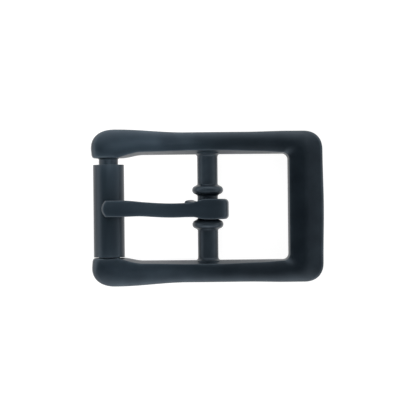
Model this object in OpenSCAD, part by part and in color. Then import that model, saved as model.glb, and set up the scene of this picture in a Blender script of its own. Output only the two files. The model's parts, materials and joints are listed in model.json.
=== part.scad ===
// Centre-bar roller buckle: a one-piece cast frame, a roller of rolled strip and a closed-loop tongue.
// X runs along the strap with the roller at its low end, Y runs across the strap, Z points to the front.
// The origin lies in the plane that the buckle rests on, straight under the middle of the centre bar.

/* [Strap and frame outline] */
// Width of the strap that the buckle is made for
strap_w = 25; // [18:0.5:40]
// Room that the strap has between the side rails
strap_play = 0.9; // [0.4:0.1:2]
// Outside length of the frame, along the strap
frame_l = 57; // [50:0.2:76]
// Width of a side rail at its waist
rail_w = 5.4; // [4:0.1:7.5]
// Width of the end bar, along the strap
end_bar_w = 8.8; // [6:0.1:12]
// How far a roller head stands out past the waist of its rail
head_flare = 0.9; // [0.3:0.1:1.6]
// How far an end-bar corner stands out past the waist of its rail
corner_flare = 0.2; // [0:0.1:1]
// How far a roller head stands into the window
head_lip = 0.75; // [0.3:0.05:1.5]
// Bow of the end bar's outer edge
end_bow = 0.2; // [0:0.05:1]
// Outer corner size at the end bar
corner_r = 4.8; // [3.5:0.1:6]
// Window corner radius at the end bar
window_r = 1.4; // [1:0.1:3]

/* [Frame heights] */
// Height of a roller head above the roller's crown, below it when negative
head_rise = -0.2; // [-0.6:0.1:1]
// Height of the rails above the centre bar's crown
rail_cover = 1.9; // [1:0.1:3]
// Depth of the rails below the centre bar
rail_under = 0.3; // [0:0.1:0.8]
// Height of the end bar
end_bar_h = 5.4; // [4.5:0.1:8]
// How far the window's wall leans back on its way up to its crease, at the centre bar
lean_mid = 1; // [0.6:0.05:1.6]
// How far the window's wall leans back at the end bar
lean_end = 0.4; // [0.2:0.05:1]
// How far the window's wall leans back at a roller head
lean_head = 0.7; // [0.2:0.05:1]
// Steepest slope of a rail's front, where it ends in the outer edge, in degrees
front_slope = 36; // [20:1:42]

/* [Centre bar] */
// Diameter of the centre bar
bar_d = 5; // [3.6:0.1:6]
// Diameter of a collar on the centre bar
collar_d = 7.6; // [6:0.1:9]
// Width of a collar's bead
collar_w = 2; // [1.4:0.1:3]
// Length of bar between the collars' beads, where the tongue turns
neck_l = 6.4; // [5:0.1:9]
// Fillet where a collar meets the bar
collar_fillet = 0.5; // [0.3:0.1:0.8]
// Fillet where the centre bar meets a rail
root_fillet = 0.8; // [0.4:0.1:1.2]
// Fillet where the roller's axle meets a head
axle_fillet = 0.4; // [0.2:0.05:0.5]

/* [Roller] */
// Outside diameter of the roller
roller_d = 7.6; // [6:0.1:9]
// Thickness of the strip that the roller is rolled from
roller_wall = 0.95; // [0.6:0.05:1.2]
// Width of the roller's open seam
roller_seam = 0.3; // [0.1:0.05:0.6]
// Radial room between the roller and its axle
roller_room = 0.5; // [0.2:0.05:0.8]
// Room that the roller has along its axle
roller_play = 1.7; // [0.6:0.1:3]
// Where the roller lies along its play at rest, as a share of half of it
roller_at = -0.85; // [-0.9:0.1:0.9]
// Gap from the roller to the plane that the buckle rests on
roller_lift = 0.1; // [0.05:0.05:0.5]
// Distance from the frame's end in to the roller
roller_inset = 0.45; // [0.2:0.05:1]

/* [Tongue] */
// Width of the tongue at its tip
tip_w = 4; // [3:0.05:5]
// Width of the tongue at its waist
shank_w = 3.5; // [2.6:0.05:4.6]
// Room that the tongue's loop has between the collars
tongue_play = 1.4; // [0.4:0.1:2]
// Where the tongue lies along its play at rest, as a share of half of it
tongue_at = -0.7; // [-0.9:0.1:0.9]
// Sideways bow of the shank
shank_bow = 0.25; // [0:0.05:0.8]
// Sideways lean of the tip, against the bow
tip_lean = 0.3; // [0:0.05:0.8]
// Thickness of the tongue over the bar
shank_t = 2.15; // [1.6:0.05:3]
// Thickness of the tongue at its tip
tip_t = 1.8; // [1.2:0.05:2.6]
// How far the tip reaches past the roller's axis
tip_over = 2; // [0.5:0.1:3]
// Thickness of the loop behind the bar
loop_back_t = 2.5; // [1.8:0.05:3.2]
// Thickness of the loop's tail under the bar
tail_t = 1.2; // [0.9:0.05:1.8]
// Width of the slit where the tail is pressed against the shank
tail_slit = 0.25; // [0.15:0.05:0.5]
// How far the pressed tail spreads out past the shank, on one side
tail_spread = 0.7; // [0.3:0.05:1]
// Radial room between the loop and the centre bar
loop_room = 0.15; // [0.1:0.05:0.3]
// Gap from the tongue to the roller that it rests on
rest_gap = 0.08; // [0.04:0.02:0.3]
// Gap from the loop to the plane that the buckle rests on
loop_lift = 0.15; // [0.05:0.05:0.6]

/* [Hidden] */

// Rings and round stretches
round_fn = 64;
fan_steps = 12;
rail_steps = 22;
corner_steps = 9;
end_steps = 5;
arc_steps = 6;

// The outline, in the upper half of the frame
half_l = frame_l / 2;
window_y = (strap_w + strap_play) / 2;
face_y = window_y - head_lip;
waist_y = window_y + rail_w;
end_in_x = half_l - end_bar_w;
axle_x = -half_l + roller_inset + roller_d / 2;
head_arc_w = 5.8;
head_arc_h = 4.7;
head_arc_x = -half_l + head_arc_w;
head_in_x = axle_x + 3;
rail_in_x = head_in_x + 2.4;
lip_l = 5.5;
corner_x = half_l - end_bow - corner_r;
corner_y = waist_y + corner_flare - corner_r;
face_round = 0.7;

// Heights
axle_z = roller_lift + roller_d / 2;
axle_d = roller_d - 2 * roller_wall - 2 * roller_room;
head_top = axle_z + roller_d / 2 + head_rise;
bore_r = bar_d / 2 + loop_room;
bar_z = max(loop_lift + tail_t + bore_r, loop_lift + collar_d / 2);
rail_top = bar_z + bar_d / 2 + rail_cover;
rail_foot = bar_z - bar_d / 2 - rail_under;
arch_x = end_in_x;
bar_root = 2.4;

// The casting's section, each as [on a rail, on a roller head, on the end bar]: foot radii and draft, where
// its crown lies as a share of its width past the crease, the tilt at its crease, its front's slope as a share
// of the steepest one, how much of that front is curved, and its outer edge's radius and steepest tilt.
// The window's wall is upright up to wall_foot, a share of the height.
foot_in_r = [0.5, 1.1, 0.5];
foot_out_r = [0.5, 2, 0.5];
side_draft = [0.3, 0.5, 0.3];
wall_foot = 0.58;
crown_at = [0.36, 0.45, 0.43];
crease_tilt = [13, 14, 24];
slope_share = [1, 0.3, 0.55];
curved_share = [1, 0.8, 0.32];
edge_r = [1, 2.4, 1.3];
outer_tilt = [84, 84, 58];

// The roller and the tongue
roller_l = 2 * face_y - roller_play;
roller_y = roller_at * roller_play / 2;
eye_w = neck_l - tongue_play;
tongue_y = tongue_at * tongue_play / 2;
eye_top = bar_z + bore_r + shank_t;
rest_z = axle_z + roller_d / 2 + rest_gap;
tip_x = axle_x - tip_over;
tail_reach = bore_r + loop_back_t;
tail_end = tail_reach + 0.55;
slit_z = bar_z + 0.62 * bore_r;
bore_bevel = 0.4;
butt_r = 1;

function ease(t) = (1 - cos(180 * min(1, max(0, t)))) / 2;
function mix(a, b, t) = a + (b - a) * t;

// A quarter turn of a slightly squared ellipse, from [1, 0] at 0 degrees to [0, 1] at 90 degrees
function squared(a) = let (k = 0.87) [pow(cos(a), k), pow(sin(a), k)];

// Outer half width of a rail
function outer_y(x) = waist_y
    + head_flare * ease((-5 - x) / (-5 - head_arc_x))
    + corner_flare * ease((x - 9) / 11);

// Inner half width of a rail
function inner_y(x) = window_y - head_lip * ease((head_in_x + lip_l - x) / lip_l);

// Height of the front of the frame, and of its back
function top_z(x) = x < -3
    ? mix(head_top, rail_top, ease((x - axle_x) / (-3 - axle_x)))
    : mix(rail_top, end_bar_h, ease((x + 3) / (half_l - 1)));
function foot_z(x) = abs(x) < arch_x ? rail_foot * pow(cos(90 * x / arch_x), 2) : 0;

// How far the window's wall leans back at its crease
function lean(x) = lookup(x, [
    [head_in_x, lean_head], [-14, lean_mid * 0.8], [-3, lean_mid * 0.95],
    [3, lean_mid], [12, mix(lean_end, lean_mid, 0.7)], [end_in_x, lean_end]]);

// Ribs of the frame's upper half: [outer point, inner point], from the head's face to the end bar's middle
head_ribs = [for (i = [0 : fan_steps]) let (
        t = i / fan_steps,
        a = max(0, 100 * t - 10),
        q = squared(a),
        low = max(0, 0.08 - t) / 0.08,
        y0 = outer_y(head_arc_x) - head_arc_h,
        xi = mix(head_in_x, rail_in_x, t))
    [[head_arc_x - head_arc_w * q[0] + 0.2 * low, mix(y0 + head_arc_h * q[1], face_y, low)],
     [xi, mix(face_y, inner_y(xi), ease(t * 2))]]];
rail_ribs = [for (i = [1 : rail_steps - 1]) let (
        t = i / rail_steps,
        xo = mix(head_arc_x, corner_x, t),
        xi = mix(rail_in_x, end_in_x - window_r, t))
    [[xo, outer_y(xo)], [xi, inner_y(xi)]]];
corner_ribs = [for (i = [0 : corner_steps]) let (
        a = 90 * i / corner_steps,
        q = squared(a))
    [[corner_x + corner_r * q[1], corner_y + corner_r * q[0]],
     [end_in_x - window_r * (1 - sin(a)), window_y - window_r * (1 - cos(a))]]];
end_ribs = [for (i = [1 : end_steps]) let (
        t = i / end_steps)
    [[half_l - end_bow + end_bow * ease(t), corner_y * (1 - t)],
     [end_in_x, (window_y - window_r) * (1 - t)]]];
half_ribs = concat(head_ribs, rail_ribs, corner_ribs, end_ribs);

// An arc's points from tilt a to tilt b, on a circle of radius r whose point at the flatter tilt is p
function bend(p, r, a, b, n) = let (flat = abs(a) < abs(b) ? a : b)
    [for (k = [0 : n]) let (t = mix(a, b, k / n))
        [p[0] + r * (sin(t) - sin(flat)), p[1] + r * (cos(t) - cos(flat))]];

// One rib's section, counter-clockwise from the foot of the window's wall over the back to the front,
// as [distance from the inner point, height]. Roundness is 1 on a roller head, and endness on the end bar.
function section(w, zb, zt, back, roundness, endness) = let (
        share = function (set) mix(mix(set[0], set[1], roundness), set[2], endness),
        foot_in = share(foot_in_r),
        foot_out = share(foot_out_r),
        crown = back + share(crown_at) * (w - back),
        tilt_in = share(crease_tilt),
        crown_r = (crown - back) / sin(tilt_in),
        slope = share(slope_share) * front_slope,
        edge = share(outer_tilt),
        r = share(edge_r),
        edge_x = w - r * (sin(edge) - sin(slope)),
        curved = share(curved_share) * (edge_x - crown),
        front_r = curved / sin(slope),
        edge_z = zt - front_r * (1 - cos(slope)) - tan(slope) * (edge_x - crown - curved))
    concat(
        [for (a = [0, 45, 90]) [foot_in * (1 - cos(a)), zb + foot_in * (1 - sin(a))]],
        [for (a = [0, 45, 90])
            [w - share(side_draft) - foot_out * (1 - sin(a)), zb + foot_out * (1 - cos(a))]],
        bend([edge_x, edge_z], r, edge, slope, 3),
        bend([crown, zt], front_r, slope, 0, 4),
        [for (k = [1 : 3]) bend([crown, zt], crown_r, 0, -tilt_in, 3)[k]],
        [[0, zb + wall_foot * (zt - zb)]]);

// A rib's section placed in the frame, shrunk about its middle by inset and pushed back along Y
function placed(rib, inset, back) = let (
        out = rib[0], in = rib[1],
        w = norm(out - in),
        dir = (out - in) / w,
        x = (out[0] + in[0]) / 2,
        zb = foot_z(in[0]), zt = top_z(x),
        roundness = 1 - ease((in[0] - head_in_x) / 2.2),
        endness = ease((out[0] - corner_x) / corner_r),
        mid = [w / 2, (zb + zt) / 2],
        size = [w / 2, (zt - zb) / 2])
    [for (p = section(w, zb, zt, lean(in[0]), roundness, endness)) let (
            s = mid[0] + (p[0] - mid[0]) * (1 - inset / size[0]),
            z = mid[1] + (p[1] - mid[1]) * (1 - inset / size[1]),
            xy = in + dir * s)
        [xy[0], xy[1] + back, z]];

// The rounded edge of a head's face, then the ribs of the upper half
face_edge = [for (a = [0, 30, 60]) [face_round * (1 - sin(a)), face_round * (1 - cos(a))]];
upper_rings = concat(
    [for (e = face_edge) placed(half_ribs[0], e[0], e[1])],
    [for (i = [1 : len(half_ribs) - 1]) placed(half_ribs[i], 0, 0)]);
n_upper = len(upper_rings);
rings = concat(upper_rings,
    [for (i = [n_upper - 2 : -1 : 0]) [for (p = upper_rings[i]) [p[0], -p[1], p[2]]]]);
n_ring = len(rings[0]);
n_rings = len(rings);

module rails() {
    points = [for (ring = rings) each ring];
    sides = [for (i = [0 : n_rings - 2]) for (j = [0 : n_ring - 1]) let (
            a = i * n_ring + j,
            b = i * n_ring + (j + 1) % n_ring)
        each [[a, b + n_ring, b], [a, a + n_ring, b + n_ring]]];
    caps = [[for (j = [0 : n_ring - 1]) j], [for (j = [n_ring - 1 : -1 : 0]) (n_rings - 1) * n_ring + j]];
    polyhedron(points, concat(sides, caps));
}

// A shaft along Y, centred on the origin
module shaft(d, l) {
    rotate([90, 0, 0]) cylinder(d = d, h = l, center = true, $fn = round_fn);
}

// A collar's height over the bar, at a distance along the bar from the collar's middle
function collar_rise(d) = let (
        rise = (collar_d - bar_d) / 2,
        half = collar_w / 2,
        bead_r = half * 1.05,
        shoulder = rise - bead_r + sqrt(bead_r * bead_r - half * half))
    d < half
    ? rise - bead_r + sqrt(bead_r * bead_r - d * d)
    : shoulder * pow(max(0, 1 - (d - half) / collar_fillet), 2);

module collar() {
    reach = collar_w / 2 + collar_fillet;
    n = 14;
    rotate([90, 0, 0]) rotate_extrude($fn = round_fn) polygon(concat(
        [[bar_d / 2 - 0.4, -reach]],
        [for (k = [-n : n]) let (d = reach * k / n) [bar_d / 2 + collar_rise(abs(d)), d]],
        [[bar_d / 2 - 0.4, reach]]));
}

// The flared root of a round bar, which ends in a wall at the given distance up Y
module root(d, y, fillet) {
    translate([0, y, 0]) rotate([90, 0, 0]) rotate_extrude($fn = round_fn) polygon(concat(
        [[0, -0.5], [d / 2 + fillet, -0.5]],
        [for (k = [4 : -1 : 0]) let (a = 90 * k / 4)
            [d / 2 + fillet * (1 - cos(a)), fillet * (1 - sin(a))]],
        [[0, fillet]]));
}

module frame() {
    color("#20262c") union() {
        rails();
        translate([0, 0, bar_z]) {
            shaft(bar_d, 2 * (window_y + bar_root));
            for (side = [-1, 1]) translate([0, side * (neck_l + collar_w) / 2, 0]) collar();
            for (side = [0, 1]) mirror([0, side, 0]) root(bar_d, window_y + 0.1, root_fillet);
        }
        translate([axle_x, 0, axle_z]) {
            shaft(axle_d, 2 * (face_y + bar_root));
            for (side = [0, 1]) mirror([0, side, 0]) root(axle_d, face_y, axle_fillet);
        }
    }
}

// A tube of rolled strip with its open seam at the back
module roller() {
    color("#2a3038") translate([axle_x, roller_y, axle_z]) difference() {
        shaft(roller_d, roller_l);
        shaft(roller_d - 2 * roller_wall, roller_l + 1);
        translate([0, 0, -roller_d / 2]) cube([roller_seam, roller_l + 1, roller_d], center = true);
    }
}

// Half width and sideways shift of the tongue
function tongue_half(x) = x > -4.5
    ? mix(shank_w, eye_w, ease((x + 4.5) / 4.2)) / 2
    : mix(shank_w, tip_w, ease((-15 - x) / 6)) / 2;
function tongue_bow(x) = let (t = x / tip_x)
    (shank_bow + tip_lean) * ease((t - 0.33) / 0.45) - shank_bow * ease(t / 0.33);

// Front and back of the shank, seen from the side
function shank_top(x) = let (t = x / tip_x, crest = rest_z + tip_t + 0.1) t < 0.35
    ? mix(eye_top, eye_top - 0.25, ease(t / 0.35))
    : t < 0.88
    ? mix(eye_top - 0.25, crest, ease((t - 0.35) / 0.53))
    : crest - 0.5 * pow((t - 0.88) / 0.12, 2);
function shank_foot(x) = let (t = x / axle_x, r = roller_d / 2, over = min(0, x - axle_x))
    mix(bar_z + bore_r - 0.1, rest_z, ease((t - 0.2) / 0.72)) - 0.7 * (r - sqrt(r * r - over * over));

module tongue_side() {
    back_r = 2.1;
    polygon(concat(
        [for (k = [0 : 4]) let (a = 90 - 90 * k / 4)
            [tail_reach - back_r + back_r * cos(a), eye_top - back_r + back_r * sin(a)]],
        [for (k = [0 : arc_steps]) let (a = -90 * k / arc_steps, r = bore_r + tail_t)
            [tail_reach * cos(a), bar_z + r * sin(a)]],
        [for (k = [1 : arc_steps]) let (a = -90 - 70 * k / arc_steps, r = bore_r + tail_t)
            [tail_reach * cos(a), bar_z + r * sin(a)]],
        [[-tail_end, slit_z]],
        [[-bore_r + 0.6, slit_z], [-bore_r + 0.6, slit_z + tail_slit], [-tail_end, slit_z + tail_slit]],
        [for (k = [5 : 20]) let (x = tip_x * k / 20) [x, shank_foot(x)]],
        [for (k = [20 : -1 : 1]) let (x = tip_x * k / 20) [x, shank_top(x)]]));
}

module tongue_plan() {
    tip_bow = 1.2;
    n = 20;
    xs = [for (k = [0 : n]) mix(tail_reach - butt_r, tip_x + tip_bow, k / n)];
    polygon(concat(
        [for (x = xs) [x, tongue_bow(x) + tongue_half(x)]],
        [for (k = [1 : 6]) let (t = 1 - 2 * k / 7)
            [tip_x + tip_bow * t * t, tongue_bow(tip_x) + t * tongue_half(tip_x)]],
        [for (k = [n : -1 : 0]) [xs[k], tongue_bow(xs[k]) - tongue_half(xs[k])]],
        [for (k = [1 : 7]) let (a = k < 4 ? -90 + 30 * k : 30 * (k - 4), half = eye_w / 2 - butt_r)
            [tail_reach + butt_r * (cos(a) - 1), (k < 4 ? -half : half) + butt_r * sin(a)]]));
}

// The tail's own outline: the loop, and a round lobe where its end is pressed out to one side
module tail_plan() {
    lobe_r = 1.5;
    lobe_x = lobe_r - tail_end;
    lobe_y = tongue_bow(lobe_x) + tongue_half(lobe_x) + tail_spread - lobe_r;
    tongue_plan();
    translate([lobe_x, lobe_y]) circle(lobe_r, $fn = 32);
}

module tongue() {
    color("#252b33") translate([0, tongue_y, 0]) difference() {
        intersection() {
            rotate([90, 0, 0]) linear_extrude(2 * eye_w, center = true) tongue_side();
            union() {
                linear_extrude(rest_z + tip_t + shank_t) tongue_plan();
                linear_extrude(slit_z + tail_slit / 2) tail_plan();
            }
        }
        translate([0, 0, bar_z]) {
            shaft(2 * bore_r, 2 * eye_w);
            for (side = [0, 1]) mirror([0, side, 0]) translate([0, eye_w / 2 - bore_bevel, 0]) rotate([-90, 0, 0])
                cylinder(r1 = bore_r, r2 = bore_r + 2 * bore_bevel, h = 2 * bore_bevel, $fn = round_fn);
        }
    }
}

frame();
roller();
tongue();
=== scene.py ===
import json
import math

import bmesh
import bpy
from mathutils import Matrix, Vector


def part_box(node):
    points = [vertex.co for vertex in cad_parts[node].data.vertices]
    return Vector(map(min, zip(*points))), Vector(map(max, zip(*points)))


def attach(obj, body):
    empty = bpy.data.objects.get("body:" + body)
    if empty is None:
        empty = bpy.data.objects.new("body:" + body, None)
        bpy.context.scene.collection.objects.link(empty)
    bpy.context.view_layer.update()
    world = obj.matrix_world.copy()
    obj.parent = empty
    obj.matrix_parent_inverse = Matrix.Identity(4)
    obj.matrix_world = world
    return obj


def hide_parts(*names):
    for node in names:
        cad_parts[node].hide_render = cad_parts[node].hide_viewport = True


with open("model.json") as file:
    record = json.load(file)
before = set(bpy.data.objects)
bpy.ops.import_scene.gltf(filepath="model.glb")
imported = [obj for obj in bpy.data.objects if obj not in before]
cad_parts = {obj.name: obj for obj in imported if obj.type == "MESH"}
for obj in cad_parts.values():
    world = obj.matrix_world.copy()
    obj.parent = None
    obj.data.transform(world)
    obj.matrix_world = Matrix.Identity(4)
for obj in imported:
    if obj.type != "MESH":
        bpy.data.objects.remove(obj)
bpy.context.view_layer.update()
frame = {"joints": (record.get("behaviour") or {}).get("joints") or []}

mm = 0.001
joints = {joint["name"]: joint for joint in frame["joints"]}


def ease(t):
    return (1 - math.cos(math.pi * min(1, max(0, t)))) / 2


def mix(a, b, t):
    return a + (b - a) * t


def between(x, stops):
    # a value that eases from one (place, value) stop to the next
    for (x0, v0), (x1, v1) in zip(stops, stops[1:]):
        if x <= x1:
            return mix(v0, v1, ease((x - x0) / (x1 - x0)))
    return stops[-1][1]


def linearColour(hexCode):
    # sRGB hex to linear RGBA
    channels = [int(hexCode[i:i + 2], 16) / 255 for i in (1, 3, 5)]
    return tuple(c / 12.92 if c <= 0.04045 else ((c + 0.055) / 1.055) ** 2.4 for c in channels) + (1,)


def usable(sockets, name):
    # the socket of that name that the node's settings leave switched on
    return sockets[name] if isinstance(name, int) else next(s for s in sockets if s.enabled and s.name == name)


def addNode(tree, kind, values=None, links=None, **settings):
    node = tree.nodes.new(kind)
    for name, value in settings.items():
        setattr(node, name, value)
    for name, value in (values or {}).items():
        usable(node.inputs, name).default_value = value
    for name, (source, output) in (links or {}).items():
        tree.links.new(usable(source.outputs, output), usable(node.inputs, name))
    return node


def skinRings(bm, rings, closed=False, bowed=False):
    # quads between successive rings of points in mm, with a face over each open end
    loops = [[bm.verts.new([c * mm for c in point]) for point in ring] for ring in rings]
    pairs = list(zip(loops, loops[1:]))
    if closed:
        pairs.append((loops[-1], loops[0]))
    for low, high in pairs:
        n = len(low)
        for i in range(n):
            bm.faces.new((low[i], low[(i + 1) % n], high[(i + 1) % n], high[i]))
    if closed:
        return
    for loop in (loops[0][::-1], loops[-1]):
        if not bowed:
            bm.faces.new(loop)
            continue
        # a bowed end is strips from one wide face to the other, each ring's halves being mirror images
        n = len(loop)
        for i in range(n // 2 - 1):
            bm.faces.new((loop[i], loop[i + 1], loop[n - 2 - i], loop[n - 1 - i]))


def makePiece(name, bm, material, smooth=True):
    bmesh.ops.recalc_face_normals(bm, faces=bm.faces)
    mesh = bpy.data.meshes.new(name)
    bm.to_mesh(mesh)
    bm.free()
    for face in mesh.polygons:
        face.use_smooth = smooth
    mesh.materials.append(material)
    piece = bpy.data.objects.new(name, mesh)
    bpy.context.scene.collection.objects.link(piece)
    return piece


def addModifier(piece, kind, **settings):
    modifier = piece.modifiers.new(kind.title(), kind)
    for name, value in settings.items():
        setattr(modifier, name, value)
    return modifier


def markEdges(piece, radiusMm):
    # how sharp each convex edge is, 1 at that radius or less, kept on the points as the mask for the painted
    # edge sheen
    bm = bmesh.new()
    bm.from_mesh(piece.data)
    bm.normal_update()
    paintedEdgeSheen = [0.0] * len(bm.verts)
    for edge in bm.edges:
        gap = (edge.link_faces[0].calc_center_median() - edge.link_faces[1].calc_center_median()).length
        bent = min(1, edge.calc_face_angle_signed(0) * radiusMm * mm / max(gap, 1e-6))
        for vert in edge.verts:
            paintedEdgeSheen[vert.index] = max(paintedEdgeSheen[vert.index], bent)
    for _ in range(3):
        paintedEdgeSheen = [(paintedEdgeSheen[v.index] + sum(paintedEdgeSheen[e.other_vert(v).index] for e in v.link_edges))
                / (1 + len(v.link_edges)) for v in bm.verts]
    bm.free()
    piece.data.attributes.new("paintedEdgeSheen", "FLOAT", "POINT").data.foreach_set("value", paintedEdgeSheen)


def applyModifiers(piece, sharpDegrees):
    shape = piece.evaluated_get(bpy.context.evaluated_depsgraph_get())
    mesh = bpy.data.meshes.new_from_object(shape)
    piece.modifiers.clear()
    piece.data = mesh
    for face in mesh.polygons:
        face.use_smooth = True
    mesh.set_sharp_from_angle(angle=math.radians(sharpDegrees))


# Matte electrocoat over cast or rolled metal: thin black paint laid on electrically and baked. It gives the eye
# a near-black with a cold blue cast face on, a neutral grey at grazing angles, a soft wide sheen, and a faint
# grain where the metal's own skin shows through.
coatDefaults = {
    "deep": "#0b1218",       # coat in the low spots
    "worn": "#10181e",       # coat where it lies thin
    "edge": "#343d44",       # lighter coat colour on the sharp edges: a painted sheen in place of the highlights along the rims
    "tint": "#b4c4d4",       # cast of the sheen, face on
    "ior": 1.47,
    "roughness": (0.30, 0.38),
    "patchMm": 4.5,          # size of the cloudy patches in the coat
    "grainMm": 0.5,          # grain of the skin, really about 0.05: drawn coarse so that it shows
    "grainDepthMm": 0.006,
    "pebbleMm": 1.6,         # slow waves of the skin
    "pebbleDepthMm": 0.012,
    "stretch": (1, 1, 1),    # how far the grain is drawn out along X, Y and Z
}


def coatedMetal(name, **changes):
    look = {**coatDefaults, **changes}
    material = bpy.data.materials.new(name)
    material.use_nodes = True
    tree = material.node_tree
    tree.nodes.clear()
    place = addNode(tree, "ShaderNodeTexCoord")
    drawn = addNode(tree, "ShaderNodeMapping", {"Scale": [1 / s for s in look["stretch"]]},
                    {"Vector": (place, "Object")})
    patches = addNode(tree, "ShaderNodeTexNoise", {"Scale": 1 / (look["patchMm"] * mm), "Detail": 3},
                      {"Vector": (drawn, "Vector")})
    grain = addNode(tree, "ShaderNodeTexNoise",
                    {"Scale": 1 / (look["grainMm"] * mm), "Detail": 2, "Roughness": 0.6},
                    {"Vector": (drawn, "Vector")})
    pebble = addNode(tree, "ShaderNodeTexNoise", {"Scale": 1 / (look["pebbleMm"] * mm), "Detail": 1},
                     {"Vector": (place, "Object")})
    thin = addNode(tree, "ShaderNodeMapRange", {"From Min": 0.35, "From Max": 0.7}, {"Value": (patches, "Fac")})
    coat = addNode(tree, "ShaderNodeMix", {"A": linearColour(look["deep"]), "B": linearColour(look["worn"])},
                   {"Factor": (thin, "Result")}, data_type="RGBA")
    # the sharp edges are painted lighter, in patches: a painted sheen in place of the highlights along the rims
    edges = addNode(tree, "ShaderNodeAttribute", attribute_name="paintedEdgeSheen")
    paintedSheenMask = addNode(tree, "ShaderNodeMath", None, {0: (edges, "Fac"), 1: (patches, "Fac")},
                     operation="MULTIPLY")
    colour = addNode(tree, "ShaderNodeMix", {"B": linearColour(look["edge"])},
                     {"A": (coat, "Result"), "Factor": (paintedSheenMask, "Value")}, data_type="RGBA")
    smoothest, roughest = look["roughness"]
    sheen = addNode(tree, "ShaderNodeMapRange",
                    {"From Min": 0.3, "From Max": 0.7, "To Min": smoothest, "To Max": roughest},
                    {"Value": (grain, "Fac")})
    waves = addNode(tree, "ShaderNodeBump", {"Strength": 1, "Distance": look["pebbleDepthMm"] * mm},
                    {"Height": (pebble, "Fac")})
    relief = addNode(tree, "ShaderNodeBump", {"Strength": 1, "Distance": look["grainDepthMm"] * mm},
                     {"Height": (grain, "Fac"), "Normal": (waves, "Normal")})
    shader = addNode(tree, "ShaderNodeBsdfPrincipled",
                     {"IOR": look["ior"], "Specular Tint": linearColour(look["tint"])},
                     {"Base Color": (colour, "Result"), "Roughness": (sheen, "Result"),
                      "Normal": (relief, "Normal")})
    addNode(tree, "ShaderNodeOutputMaterial", None, {"Surface": (shader, "BSDF")})
    return material


coatedZincCasting = coatedMetal("coatedZincCasting")
coatedSteelStrip = coatedMetal("coatedSteelStrip", deep="#0e151b", worn="#131b21",
                               pebbleDepthMm=0.005, stretch=(1, 6, 1))
coatedTongueMetal = coatedMetal("coatedTongueMetal", deep="#192128", worn="#212a31",
                                pebbleDepthMm=0.02, stretch=(4, 1, 1))
print("materials made")

# All sizes in mm. A set of three is (on a rail, on a roller head, on the end bar).
castFrame = {
    "windowHalf": 12.95,     # half the room between the rails, at the back
    "railWidth": 5.4,
    "endBarWidth": 8.8,
    "headFlare": 0.9,        # how far a roller head stands out past its rail, and into the window
    "headLip": 0.75,
    "cornerFlare": 0.2,
    "endBow": 0.2,
    "cornerRadius": 4.8,
    "windowRadius": 1.4,
    "headWidth": 5.8,        # reach and rise of a head's outer curve
    "headHeight": 4.7,
    "faceRound": 0.7,        # rounding of the head's edge beside the roller
    "railTop": 8.4,
    "railFoot": 1.2,
    "headTop": 7.4,
    "endBarTop": 5.4,
    "wallFoot": 0.58,        # share of the height up to which the window's wall is upright
    "leanHead": 0.7,         # how far it leans back from there to its crease
    "leanMid": 1.0,
    "leanEnd": 0.4,
    "frontSlope": 36,        # degrees, the steepest slope of a rail's front
    "crownAt": (0.36, 0.45, 0.43),     # share of the width past the crease
    "creaseTilt": (13, 14, 24),
    "slopeShare": (1, 0.3, 0.55),      # of the steepest slope
    "curvedShare": (1, 0.8, 0.32),     # how much of the front is curved, from the crown on
    "edgeBend": (1, 2.4, 1.3),         # radius of the outer edge, and how steep it ends
    "outerTilt": (84, 84, 58),
    "footIn": (0.5, 1.1, 0.5),         # radii of the back's edges
    "footOut": (0.5, 2, 0.5),
    "draft": (0.3, 0.5, 0.3),
    "creaseSoftness": 0.14,  # how far the crease and the rim are rubbed back
    "bevelSoftness": 0.3,
    "headReach": 3,          # from the axle to where a head ends in the window
    "headRun": 2.4,          # and from there to the rail's first rib
    "lipRun": 5.5,           # length over which the window widens past a head
    "widenFrom": -5,         # where a rail starts to widen to its head
    "cornerFrom": 9,         # where it starts to widen to its corner, and over what length
    "cornerRun": 11,
    "summitAt": -3,          # where a rail is highest
    "squareness": 0.87,      # 1 is a round corner in plan, less is squarer
    "tuck": 0.08,            # share of a head's ribs that close on its face
    "ribs": (36, 80, 24, 20),          # round a head, along a rail, round a corner, along half the end bar
}
centreBar = {
    "diameter": 5,
    "collarDiameter": 7.6,
    "collarWidth": 2,
    "collarFillet": 0.5,
    "collarAt": 4.2,         # from the middle to a collar
    "rootFillet": 0.8,
    "axleDiameter": 4.7,
    "axleFillet": 0.4,
    "into": 2.4,             # how far both bars run on inside the casting
    "barRings": 260,
    "axleRings": 160,
}
axleX, _, axleZ = [v / mm for v in joints["roller_spin"]["pos_m"]]
barX, _, barZ = [v / mm for v in joints["tongue_swing"]["pos_m"]]
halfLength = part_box("frame")[1][0] / mm
endInX = halfLength - castFrame["endBarWidth"]
faceY = castFrame["windowHalf"] - castFrame["headLip"]
waistY = castFrame["windowHalf"] + castFrame["railWidth"]
headX = castFrame["headWidth"] - halfLength
headInX = axleX + castFrame["headReach"]
railInX = headInX + castFrame["headRun"]
cornerX = halfLength - castFrame["endBow"] - castFrame["cornerRadius"]
cornerY = waistY + castFrame["cornerFlare"] - castFrame["cornerRadius"]


def outerY(x):
    start = castFrame["widenFrom"]
    return (waistY + castFrame["headFlare"] * ease((start - x) / (start - headX))
            + castFrame["cornerFlare"] * ease((x - castFrame["cornerFrom"]) / castFrame["cornerRun"]))


def innerY(x):
    run = castFrame["lipRun"]
    return castFrame["windowHalf"] - castFrame["headLip"] * ease((headInX + run - x) / run)


def topZ(x):
    summit = castFrame["summitAt"]
    if x < summit:
        return mix(castFrame["headTop"], castFrame["railTop"], ease((x - axleX) / (summit - axleX)))
    return mix(castFrame["railTop"], castFrame["endBarTop"], ease((x - summit) / (halfLength - 1)))


def footZ(x):
    return castFrame["railFoot"] * math.cos(math.pi / 2 * x / endInX) ** 2 if abs(x) < endInX else 0


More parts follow.
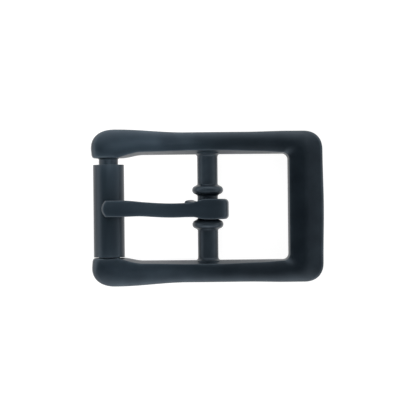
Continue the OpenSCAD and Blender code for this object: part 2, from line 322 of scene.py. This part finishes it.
def wallLean(x):
    # (place along the rail, lean) from a head to the end bar
    mid, end = castFrame["leanMid"], castFrame["leanEnd"]
    return between(x, [(headInX, castFrame["leanHead"]), (-14, 0.8 * mid), (-3, 0.95 * mid), (3, mid),
                       (12, mix(end, mid, 0.7)), (endInX, end)])


def squared(angle):
    return tuple(max(0, part) ** castFrame["squareness"] for part in (math.cos(angle), math.sin(angle)))


def frameRibs():
    # [outer point, inner point] in plan, from a head's face to the middle of the end bar
    ribs = []
    headRibs, railRibs, cornerRibs, endRibs = castFrame["ribs"]
    tuck = castFrame["tuck"]
    for i in range(headRibs + 1):
        t = i / headRibs
        c, s = squared(math.radians(max(0, 100 * t - 10)))
        low = max(0, tuck - t) / tuck
        y0 = outerY(headX) - castFrame["headHeight"]
        xi = mix(headInX, railInX, t)
        ribs.append(((headX - castFrame["headWidth"] * c + 0.2 * low,
                      mix(y0 + castFrame["headHeight"] * s, faceY, low)),
                     (xi, mix(faceY, innerY(xi), ease(t * 2)))))
    for i in range(1, railRibs):
        t = i / railRibs
        xo = mix(headX, cornerX, t)
        xi = mix(railInX, endInX - castFrame["windowRadius"], t)
        ribs.append(((xo, outerY(xo)), (xi, innerY(xi))))
    for i in range(cornerRibs + 1):
        angle = math.pi / 2 * i / cornerRibs
        c, s = squared(angle)
        r = castFrame["windowRadius"]
        ribs.append(((cornerX + castFrame["cornerRadius"] * s, cornerY + castFrame["cornerRadius"] * c),
                     (endInX - r * (1 - math.sin(angle)), castFrame["windowHalf"] - r * (1 - math.cos(angle)))))
    for i in range(1, endRibs + 1):
        t = i / endRibs
        ribs.append(((halfLength - castFrame["endBow"] * (1 - ease(t)), cornerY * (1 - t)),
                     (endInX, (castFrame["windowHalf"] - castFrame["windowRadius"]) * (1 - t))))
    return ribs


def bend(point, radius, start, end, count):
    # an arc from one tilt to another, whose flatter end is at the point
    flat = min(start, end, key=abs)
    return [(point[0] + radius * (math.sin(t) - math.sin(flat)),
             point[1] + radius * (math.cos(t) - math.cos(flat)))
            for t in (mix(start, end, k / count) for k in range(count + 1))]


def softCorner(before, corner, after, cut, count=4):
    # a curve that leaves out a corner's last bit, from the side of one neighbour to that of the other
    ends = []
    for other in (before, after):
        share = min(0.45, cut / max(1e-6, math.dist(corner, other)))
        ends.append([mix(c, o, share) for c, o in zip(corner, other)])
    return [tuple(mix(mix(p, c, t), mix(c, q, t), t) for p, c, q in zip(ends[0], corner, ends[1]))
            for t in (k / count for k in range(count + 1))]


def ribSection(width, low, high, back, roundness, endness):
    # counter-clockwise from the foot of the window's wall over the back to the front:
    # [distance from the window's foot, height]
    def share(name):
        rail, head, end = castFrame[name]
        return mix(mix(rail, head, roundness), end, endness)

    quarter = [math.pi / 2 * k / 6 for k in range(7)]
    footIn, footOut, side = share("footIn"), share("footOut"), width - share("draft")
    crown = back + share("crownAt") * (width - back)
    creaseTilt = math.radians(share("creaseTilt"))
    crownRadius = (crown - back) / math.sin(creaseTilt)
    slope = math.radians(share("slopeShare") * castFrame["frontSlope"])
    edge = math.radians(share("outerTilt"))
    edgeX = width - share("edgeBend") * (math.sin(edge) - math.sin(slope))
    curved = share("curvedShare") * (edgeX - crown)
    frontRadius = curved / math.sin(slope)
    edgeZ = high - frontRadius * (1 - math.cos(slope)) - math.tan(slope) * (edgeX - crown - curved)
    backIn = [(footIn * (1 - math.cos(a)), low + footIn * (1 - math.sin(a))) for a in quarter]
    backOut = [(side - footOut * (1 - math.sin(a)), low + footOut * (1 - math.cos(a))) for a in quarter]
    outer = bend((edgeX, edgeZ), share("edgeBend"), edge, slope, 8)
    top = bend((crown, high), frontRadius, slope, 0, 10)
    inner = bend((crown, high), crownRadius, 0, -creaseTilt, 8)
    rim = softCorner(backOut[-1], outer[0], outer[1], castFrame["creaseSoftness"])
    foot = (0, low + castFrame["wallFoot"] * (high - low))
    crease = softCorner(inner[-2], inner[-1], foot, castFrame["creaseSoftness"])
    bevel = softCorner(inner[-1], foot, backIn[0], castFrame["bevelSoftness"])
    return backIn + backOut + rim + outer[1:] + top + inner[1:-1] + crease + bevel


def placedSection(rib, inset=0, back=0):
    (xo, yo), (xi, yi) = rib
    width = math.hypot(xo - xi, yo - yi)
    low, high = footZ(xi), topZ((xo + xi) / 2)
    roundness = 1 - ease((xi - headInX) / 2.2)
    endness = ease((xo - cornerX) / castFrame["cornerRadius"])
    ring = []
    for across, z in ribSection(width, low, high, wallLean(xi), roundness, endness):
        s = (width / 2 + (across - width / 2) * (1 - inset / (width / 2))) / width
        zz = (low + high) / 2 + (z - (low + high) / 2) * (1 - inset / ((high - low) / 2))
        ring.append((mix(xi, xo, s), mix(yi, yo, s) + back, zz))
    return ring


def stations(end, count):
    return [mix(-end, end, i / count) for i in range(count + 1)]


def turned(x, z, profile, segments):
    # rings of a bar that lies along Y: profile gives (y, radius)
    return [[(x + r * math.cos(a), y, z + r * math.sin(a))
             for a in (2 * math.pi * i / segments for i in range(segments))] for y, r in profile]


def flare(distance, fillet):
    # what a fillet adds to a bar's radius at a distance from the wall
    if distance >= fillet:
        return 0
    gone = fillet - max(0, distance)
    return fillet - math.sqrt(max(0, fillet * fillet - gone * gone))


def collarRise(distance):
    # what a collar adds to the bar's radius at a distance from its middle: a bead with a filleted foot
    rise = (centreBar["collarDiameter"] - centreBar["diameter"]) / 2
    half = centreBar["collarWidth"] / 2
    beadRadius = 1.05 * half
    if distance < half:
        return rise - beadRadius + math.sqrt(beadRadius ** 2 - distance ** 2)
    shoulder = rise - beadRadius + math.sqrt(beadRadius ** 2 - half ** 2)
    return shoulder * max(0, 1 - (distance - half) / centreBar["collarFillet"]) ** 2


def buildFrame():
    ribs = frameRibs()
    r = castFrame["faceRound"]
    upper = [placedSection(ribs[0], r * (1 - math.sin(a)), r * (1 - math.cos(a)))
             for a in (math.radians(d) for d in range(0, 90, 10))]
    upper += [placedSection(rib) for rib in ribs[1:]]
    bm = bmesh.new()
    skinRings(bm, upper + [[(x, -y, z) for x, y, z in ring] for ring in upper[-2::-1]])
    piece = makePiece("castFrame", bm, coatedZincCasting)

    barEnd = castFrame["windowHalf"] + centreBar["into"]
    barProfile = [(y, centreBar["diameter"] / 2 + collarRise(abs(abs(y) - centreBar["collarAt"]))
                   + flare(castFrame["windowHalf"] + 0.1 - abs(y), centreBar["rootFillet"]))
                  for y in stations(barEnd, centreBar["barRings"])]
    axleEnd = faceY + centreBar["into"]
    axleProfile = [(y, centreBar["axleDiameter"] / 2 + flare(faceY - abs(y), centreBar["axleFillet"]))
                   for y in stations(axleEnd, centreBar["axleRings"])]
    cast = []
    for name, rings in (("bar", turned(barX, barZ, barProfile, 72)),
                        ("axle", turned(axleX, axleZ, axleProfile, 60))):
        bm = bmesh.new()
        skinRings(bm, rings)
        cast.append(makePiece(name, bm, coatedZincCasting))
        addModifier(piece, "BOOLEAN", operation="UNION", solver="EXACT", object=cast[-1])
    applyModifiers(piece, 38)
    markEdges(piece, 1.2)
    for part in cast:
        bpy.data.objects.remove(part)
    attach(piece, "frame_body")
    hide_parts("frame")
    print("frame built:", len(piece.data.polygons), "faces")
    return piece


rollerTube = {
    "wall": 0.95,
    "seam": 0.3,
    "edge": 0.08,            # rounding left by the shears at the ends and along the seam
}
rollerLow, rollerHigh = [[v / mm for v in corner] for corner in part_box("roller")]
rollerRadius = (rollerHigh[0] - rollerLow[0]) / 2


def buildRoller():
    y0, y1 = rollerLow[1], rollerHigh[1]
    inside = rollerRadius - rollerTube["wall"]
    edge = rollerTube["edge"]

    def section(inset):
        # a wall's section as (radius, y), with rounded corners
        points = []
        corners = [(rollerRadius - edge, y1 - edge, 0), (inside + edge, y1 - edge, 1),
                   (inside + edge, y0 + edge, 2), (rollerRadius - edge, y0 + edge, 3)]
        for r, y, quarter in corners:
            for k in range(5):
                a = math.pi / 2 * (quarter + k / 4)
                points.append((r + (edge - inset) * math.cos(a), y + (edge - inset) * math.sin(a)))
        # extra stations along the length keep the long faces short
        full = []
        for p, q in zip(points, points[1:] + points[:1]):
            steps = max(1, round(abs(p[1] - q[1]) / 1.5))
            full += [(mix(p[0], q[0], i / steps), mix(p[1], q[1], i / steps)) for i in range(steps)]
        return full

    half = math.asin(rollerTube["seam"] / 2 / rollerRadius)
    soft = edge / rollerRadius
    seamEdge = [(half + soft * (1 - math.cos(a)), edge * (1 - math.sin(a)))
                for a in (math.radians(d) for d in (0, 30, 60))]
    turns = seamEdge + [(mix(half + soft, 2 * math.pi - half - soft, i / 120), 0) for i in range(121)]
    turns += [(2 * math.pi - angle, inset) for angle, inset in reversed(seamEdge)]
    bm = bmesh.new()
    # the seam lies at the back, under the axle
    skinRings(bm, [[(axleX + r * math.sin(a), y, axleZ - r * math.cos(a)) for r, y in section(inset)]
                   for a, inset in turns])
    piece = makePiece("rollerTube", bm, coatedSteelStrip)
    markEdges(piece, 0.5)
    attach(piece, "roller_body")
    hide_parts("roller")
    print("roller built:", len(piece.data.polygons), "faces")
    return piece


tongueBar = {
    "tipWidth": 4.0,
    "shankWidth": 3.5,
    "bow": 0.25,             # sideways bow of the shank, and lean of its tip
    "lean": 0.3,
    "boreRadius": 2.65,
    "overBar": 2.15,         # thickness over, behind and under the bar, and at the tip
    "behindBar": 2.5,
    "underBar": 1.2,
    "tipThickness": 1.8,
    "tipOver": 1.7,          # how far the tip reaches past the roller's axis
    "tipBow": 0.9,           # how far the tip's end bulges
    "restGap": 0.08,
    "edge": 0.28,            # rounding of the long edges, of the bore's edges, and of the loop's back
    "boreEdge": 0.35,
    "buttEdge": 1.0,
    "endFace": 0.4,          # bevel along the tip's end: how wide it is, and how deep
    "endDrop": 0.5,
    "lobeHalf": 1.35,        # half length of the lobe where the tail is pressed out to one side
    "lobeSpread": 0.7,
    "buttSquareness": 4,
    "tailPast": 0.55,        # how far the tail reaches past the loop's own back
    "slitAt": 0.62,          # height of the tail's slit over the bar's middle, as a share of the bore
    "loopFrom": -4.5,        # where the shank starts to widen to its loop, and over what length
    "loopRun": 4.2,
    "tipFrom": -15,          # and to its tip
    "tipRun": 6,
    "sag": 0.25,             # how far the front sinks past the loop
    "sagEnd": 0.35,          # shares of the length where it has sunk, and where it starts down to the tip
    "crestAt": 0.88,
    "hug": 0.7,              # how closely the tip's back follows the roller
    "bowRun": 4,             # length over which the tip's bow dies out
    "rings": (14, 70, 24, 144),        # at the tip, along the shank, over the bar, round the bar
}
tongueLow, tongueHigh = [[v / mm for v in corner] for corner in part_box("tongue")]


def buildTongue():
    look = tongueBar
    tipX = axleX - look["tipOver"]
    restZ = axleZ + rollerRadius + look["restGap"]
    bore = look["boreRadius"]
    loopTop = barZ + bore + look["overBar"]
    loopWidth = tongueHigh[1] - tongueLow[1]
    aside = (tongueHigh[1] + tongueLow[1]) / 2
    reach = bore + look["behindBar"]
    tailEnd = reach + look["tailPast"]
    slitZ = barZ + look["slitAt"] * bore

    def halfWidth(x):
        if x > look["loopFrom"]:
            return mix(look["shankWidth"], loopWidth, ease((x - look["loopFrom"]) / look["loopRun"])) / 2
        return mix(look["shankWidth"], look["tipWidth"], ease((look["tipFrom"] - x) / look["tipRun"])) / 2

    def sideways(x):
        t = x / tipX
        return (look["bow"] + look["lean"]) * ease((t - 0.33) / 0.45) - look["bow"] * ease(t / 0.33)

    def front(x):
        t = x / tipX
        crest = restZ + look["tipThickness"] + 0.1
        if t < look["sagEnd"]:
            return mix(loopTop, loopTop - look["sag"], ease(t / look["sagEnd"]))
        if t < look["crestAt"]:
            rise = (t - look["sagEnd"]) / (look["crestAt"] - look["sagEnd"])
            return mix(loopTop - look["sag"], crest, ease(rise))
        u = (x - tipX) / look["endFace"]
        drop = 1 - u if u < 0.7 else max(0, 1.3 - u) ** 2 / 1.2
        return crest - 0.5 * ((t - look["crestAt"]) / (1 - look["crestAt"])) ** 2 - look["endDrop"] * drop

    def back(x):
        over = min(0, x - axleX)
        drop = rollerRadius - math.sqrt(rollerRadius ** 2 - over ** 2)
        return mix(barZ + bore - 0.1, restZ, ease((x / axleX - 0.2) / 0.72)) - look["hug"] * drop

    def lobe(x):
        # how far the pressed tail stands out past the shank at x
        centre = look["lobeHalf"] - tailEnd
        off = min(1, abs(x - centre) / look["lobeHalf"])
        return max(0, halfWidth(centre) + look["lobeSpread"] * math.sqrt(1 - off ** 3) - halfWidth(x))

    def section(outer, inner, half, shift, corner=look["edge"], bulge=0, tail=False):
        # a rounded rectangle across the strip, between an outer and an inner point in the XZ plane
        thick = math.dist(outer, inner)
        outline = []
        for side, face, radius, quarter in ((1, 1, corner, 0), (-1, 1, corner, 1),
                                            (-1, 0, look["boreEdge"], 2), (1, 0, look["boreEdge"], 3)):
            radius = min(radius, 0.45 * thick)
            for k in range(7):
                a = math.pi / 2 * (quarter + k / 6)
                outline.append((side * (half - radius) + radius * math.cos(a),
                                ((thick - radius) if face else radius) + radius * math.sin(a)))
        ring = []
        for (y0, v0), (y1, v1) in zip(outline, outline[1:] + outline[:1]):
            # the wide faces get points in between, so that they can bow
            steps = 12 if abs(y1 - y0) > half else 1
            for i in range(steps):
                y, v = mix(y0, y1, i / steps), mix(v0, v1, i / steps)
                x = mix(inner[0], outer[0], v / thick)
                pressed = lobe(x) * (y / half + 1) / 2 if tail else 0
                bowed = x + bulge * (y / half) ** 2
                # the back of a bowed end keeps to the roller at the place where each point really is
                low = back(bowed) if bulge else inner[1]
                ring.append((bowed, aside + shift + y + pressed, mix(low, outer[1], v / thick)))
        return ring

    rings = []
    tipRings, shankRings, overRings, roundRings = look["rings"]
    end = 1.4 * look["endFace"]
    for i in range(tipRings + shankRings + 1):
        if i < tipRings:
            x = tipX + end * i / tipRings
        else:
            x = mix(tipX + end, -tailEnd, (i - tipRings) / shankRings)
        rings.append(section((x, front(x)), (x, back(x)), halfWidth(x), sideways(x),
                             bulge=look["tipBow"] * (1 - ease((x - tipX) / look["bowRun"]))))
    for i in range(1, overRings + 1):
        # over the bar, where the strip's back turns from the shank's into the bore
        t = i / overRings
        x = mix(-tailEnd, 0, t)
        a = math.radians(mix(141.7, 90, t))
        inner = (bore * math.cos(a), barZ + bore * math.sin(a))
        blend = ease(t / 0.55)
        start = (-tailEnd, back(-tailEnd))
        inner = [mix(mix(s, c, t), c, blend) for s, c in zip(start, inner)]
        rings.append(section((x, front(x)), inner, halfWidth(x), sideways(x)))
    for i in range(1, roundRings + 1):
        # round the bar and back under the shank
        degrees = mix(90, -219, i / roundRings)
        c, s = math.cos(math.radians(degrees)), math.sin(math.radians(degrees))
        inner = (bore * c, barZ + bore * s)
        corner = mix(look["edge"], look["buttEdge"], ease((75 - abs(degrees)) / 50))
        if degrees > 0:
            # squared shoulder over the butt
            n = look["buttSquareness"]
            k = (abs(c / reach) ** n + abs(s / (loopTop - barZ)) ** n) ** (-1 / n)
            outer = (k * c, barZ + k * s)
        else:
            wide = mix(reach, tailEnd, ease((-90 - degrees) / 90))
            k = 1 / math.hypot(c / wide, s / (bore + look["underBar"])) if s < 0 else tailEnd / abs(c)
            outer = (k * c, barZ + min(k * s, slitZ - barZ))
        if degrees < -180:
            inner = (bore * c, barZ + min(bore * s, slitZ - barZ - 0.02))
        rings.append(section(outer, inner, halfWidth(outer[0]), sideways(outer[0]), corner, tail=degrees < -95))
    bm = bmesh.new()
    skinRings(bm, rings, bowed=True)
    bmesh.ops.remove_doubles(bm, verts=bm.verts, dist=0.001 * mm)   # rings that the tail's slit cuts to nothing
    piece = makePiece("tongueBar", bm, coatedTongueMetal)
    markEdges(piece, 0.6)
    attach(piece, "tongue_body")
    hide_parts("tongue")
    print("tongue built:", len(piece.data.polygons), "faces")
    return piece


buildFrame()
buildRoller()
buildTongue()

studio = {
    "floor": "#6e6e6e",
    "floorGlow": 0.94,       # the floor is a light table
    "floorHalf": 0.9,
    "floorSteps": 12,
    "floorDropMm": 0.02,     # just clear of the back, so that the two don't lie in one plane
    "zenith": 0.02,          # dim ceiling where the camera looks through
    "sides": 2.9,            # tent walls along both sides of the strap
    "rightEnd": 1.0,
    "horizon": 1.2,          # and all round, low down
    "leftEnd": 1.9,          # this one only reaches a little above the floor
    # small diffused lamps over the left half, which make no highlights of their own: (place, power)
    "lamps": (((-0.017, 0.020, 0.045), 0.006), ((-0.017, -0.022, 0.045), 0.0034)),
    "lampSize": 0.02,
    "lampSpread": 66,
    "viewWidthMm": 101.9,    # what the picture takes in at the buckle's height
    "cameraHeight": 0.8,
    "turnDegrees": 0.59,
    "aim": (0.05, -0.22),
    "sensor": 36,
    "aimHeight": 0.005,      # of the buckle's front above the floor
}


def buildStudio():
    bm = bmesh.new()
    half, steps = studio["floorHalf"], studio["floorSteps"]
    floorZ = -studio["floorDropMm"] * mm
    grid = [[bm.verts.new((mix(-half, half, i / steps), mix(-half, half, j / steps), floorZ))
             for i in range(steps + 1)] for j in range(steps + 1)]
    for j in range(steps):
        for i in range(steps):
            bm.faces.new((grid[j][i], grid[j][i + 1], grid[j + 1][i + 1], grid[j + 1][i]))
    opalAcrylic = bpy.data.materials.new("opalAcrylic")
    opalAcrylic.use_nodes = True
    shader = opalAcrylic.node_tree.nodes["Principled BSDF"]
    shader.inputs["Base Color"].default_value = linearColour(studio["floor"])
    shader.inputs["Roughness"].default_value = 0.9
    shader.inputs["Emission Color"].default_value = (1, 1, 1, 1)
    shader.inputs["Emission Strength"].default_value = studio["floorGlow"]
    floor = makePiece("floor", bm, opalAcrylic, smooth=False)

    world = bpy.data.worlds.new("tent")
    bpy.context.scene.world = world
    world.use_nodes = True
    tree = world.node_tree
    tree.nodes.clear()
    where = addNode(tree, "ShaderNodeTexCoord")
    parts = addNode(tree, "ShaderNodeSeparateXYZ", None, {"Vector": (where, "Generated")})
    across = addNode(tree, "ShaderNodeMath", None, {0: (parts, "Y"), 1: (parts, "Y")},
                     operation="MULTIPLY")
    sideways = addNode(tree, "ShaderNodeMapRange", {"From Min": 0.06}, {"Value": (across, "Value")})
    right = addNode(tree, "ShaderNodeMath", {1: 0}, {0: (parts, "X")}, operation="MAXIMUM")
    rightward = addNode(tree, "ShaderNodeMath", None, {0: (right, "Value"), 1: (right, "Value")},
                        operation="MULTIPLY")
    leftward = addNode(tree, "ShaderNodeMapRange", {"From Min": -0.7, "From Max": -1.05},
                       {"Value": (parts, "X")}, interpolation_type="SMOOTHSTEP")
    low = addNode(tree, "ShaderNodeMapRange", {"From Min": 0.5, "From Max": 0}, {"Value": (parts, "Z")},
                  interpolation_type="SMOOTHSTEP")
    strength = None
    for part, output, gain in ((sideways, "Result", studio["sides"]), (rightward, "Value", studio["rightEnd"]),
                               (leftward, "Result", studio["leftEnd"]), (low, "Result", studio["horizon"])):
        links = {0: (part, output)}
        if strength:
            links[2] = (strength, "Value")
        strength = addNode(tree, "ShaderNodeMath", {1: gain, 2: studio["zenith"]}, links,
                           operation="MULTIPLY_ADD")
    background = addNode(tree, "ShaderNodeBackground", {"Color": (1, 1, 1, 1)},
                         {"Strength": (strength, "Value")})
    addNode(tree, "ShaderNodeOutputWorld", None, {"Surface": (background, "Background")})

    for place, power in studio["lamps"]:
        lamp = bpy.data.lights.new("softbox", "AREA")
        lamp.energy = power
        lamp.shape = "SQUARE"
        lamp.size = studio["lampSize"]
        lamp.spread = math.radians(studio["lampSpread"])
        softbox = bpy.data.objects.new("softbox", lamp)
        softbox.location = place
        softbox.visible_camera = False
        softbox.visible_glossy = False
        bpy.context.scene.collection.objects.link(softbox)

    lens = bpy.data.cameras.new("camera")
    lens.sensor_width = studio["sensor"]
    lens.lens = studio["sensor"] * (studio["cameraHeight"] - studio["aimHeight"]) / (studio["viewWidthMm"] * mm)
    lens.clip_start = 0.01
    camera = bpy.data.objects.new("camera", lens)
    camera.location = (studio["aim"][0] * mm, studio["aim"][1] * mm, studio["cameraHeight"])
    camera.rotation_euler = (0, 0, -math.radians(studio["turnDegrees"]))
    bpy.context.scene.collection.objects.link(camera)
    bpy.context.scene.camera = camera
    bpy.context.scene.view_settings.view_transform = "Standard"
    print("studio built")


buildStudio()
